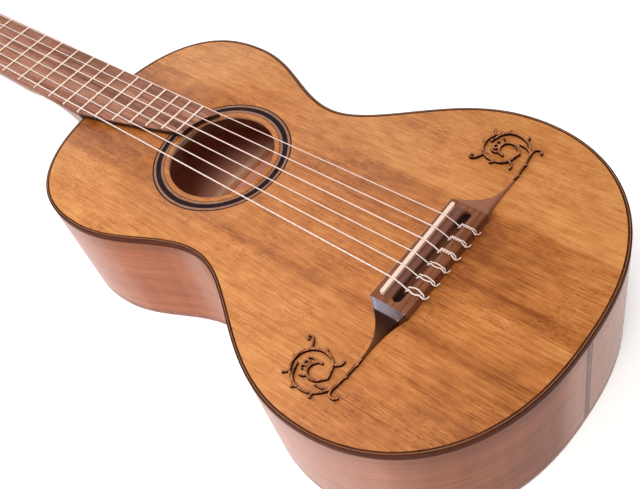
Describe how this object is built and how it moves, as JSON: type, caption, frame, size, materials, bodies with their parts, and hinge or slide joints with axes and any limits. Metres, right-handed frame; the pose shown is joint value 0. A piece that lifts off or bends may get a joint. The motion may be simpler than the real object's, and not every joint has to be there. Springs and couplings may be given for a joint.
{
  "type": "acoustic guitar",
  "caption": "Romantic guitar: narrow-waisted body, tie bridge running out into carved vine scrolls, floating fingerboard cut away on its bass side, and turning friction pegs.",
  "frame": {"origin": "on the outer face of the back, at the centre line, directly below the saddle line", "axes": "+Y along the neck towards the head, +Z out of the soundboard, +X towards the treble side (the first string)"},
  "size_m": [0.2798, 0.9331, 0.1134],
  "materials": {
    "spruce": "semi-gloss honey-coloured softwood with fine straight grain",
    "maple": "glossy reddish-brown varnish",
    "strip_wood": "varnished greyish-brown hardwood",
    "dark_wood": "satin very dark reddish-brown hardwood",
    "light_line": "pale inlaid line",
    "ebony": "satin black hardwood",
    "spruce_inside": "bare pale wood",
    "mahogany": "satin brown hardwood",
    "rosewood": "oiled streaky brown hardwood",
    "bone": "polished cream bone",
    "fret_metal": "polished bright metal",
    "string_plain": "smooth pale translucent string",
    "string_wound": "finely wound pale metal string"
  },
  "bodies": {
    "guitar": {"soundboard": "spruce", "back": "maple", "rib_bass": "maple", "rib_treble": "maple", "tail_strip": "strip_wood", "binding_top": "dark_wood", "binding_back": "dark_wood", "purfling_top": "light_line", "rosette": "ebony", "neck_block": "spruce_inside", "tail_block": "spruce_inside", "lining_top_bass": "spruce_inside", "lining_top_treble": "spruce_inside", "lining_back_bass": "spruce_inside", "lining_back_treble": "spruce_inside", "top_brace_1": "spruce_inside", "top_brace_2": "spruce_inside", "top_brace_3": "spruce_inside", "top_brace_4": "spruce_inside", "back_brace_1": "spruce_inside", "back_brace_2": "spruce_inside", "back_brace_3": "spruce_inside", "neck": "mahogany", "head": "mahogany", "fingerboard": "rosewood", "nut": "bone", "bridge": "dark_wood", "saddle": "bone", "scroll_bass": "dark_wood", "scroll_treble": "dark_wood", "fret_01": "fret_metal", "fret_02": "fret_metal", "fret_03": "fret_metal", "fret_04": "fret_metal", "fret_05": "fret_metal", "fret_06": "fret_metal", "fret_07": "fret_metal", "fret_08": "fret_metal", "fret_09": "fret_metal", "fret_10": "fret_metal", "fret_11": "fret_metal", "fret_12": "fret_metal", "fret_13": "fret_metal", "fret_14": "fret_metal", "fret_15": "fret_metal", "fret_16": "fret_metal", "fret_17": "fret_metal", "fret_18": "fret_metal", "string_1": "string_plain", "string_2": "string_plain", "string_3": "string_plain", "string_4": "string_wound", "string_5": "string_wound", "string_6": "string_wound"},
    "peg_1": {"peg_1": "ebony"},
    "peg_2": {"peg_2": "ebony"},
    "peg_3": {"peg_3": "ebony"},
    "peg_4": {"peg_4": "ebony"},
    "peg_5": {"peg_5": "ebony"},
    "peg_6": {"peg_6": "ebony"}
  },
  "joints": [
    {"name": "peg_1_turn", "type": "hinge", "parent": "guitar", "child": "peg_1", "pos_m": [0.021, 0.69283, 0.09966], "axis": [0, 0.1982, 0.9802], "continuous": true},
    {"name": "peg_2_turn", "type": "hinge", "parent": "guitar", "child": "peg_2", "pos_m": [0.018, 0.73596, 0.09094], "axis": [0, 0.1982, 0.9802], "continuous": true},
    {"name": "peg_3_turn", "type": "hinge", "parent": "guitar", "child": "peg_3", "pos_m": [0.019, 0.77909, 0.08222], "axis": [0, 0.1982, 0.9802], "continuous": true},
    {"name": "peg_4_turn", "type": "hinge", "parent": "guitar", "child": "peg_4", "pos_m": [-0.019, 0.77909, 0.08222], "axis": [0, 0.1982, 0.9802], "continuous": true},
    {"name": "peg_5_turn", "type": "hinge", "parent": "guitar", "child": "peg_5", "pos_m": [-0.018, 0.73596, 0.09094], "axis": [0, 0.1982, 0.9802], "continuous": true},
    {"name": "peg_6_turn", "type": "hinge", "parent": "guitar", "child": "peg_6", "pos_m": [-0.021, 0.69283, 0.09966], "axis": [0, 0.1982, 0.9802], "continuous": true}
  ]
}
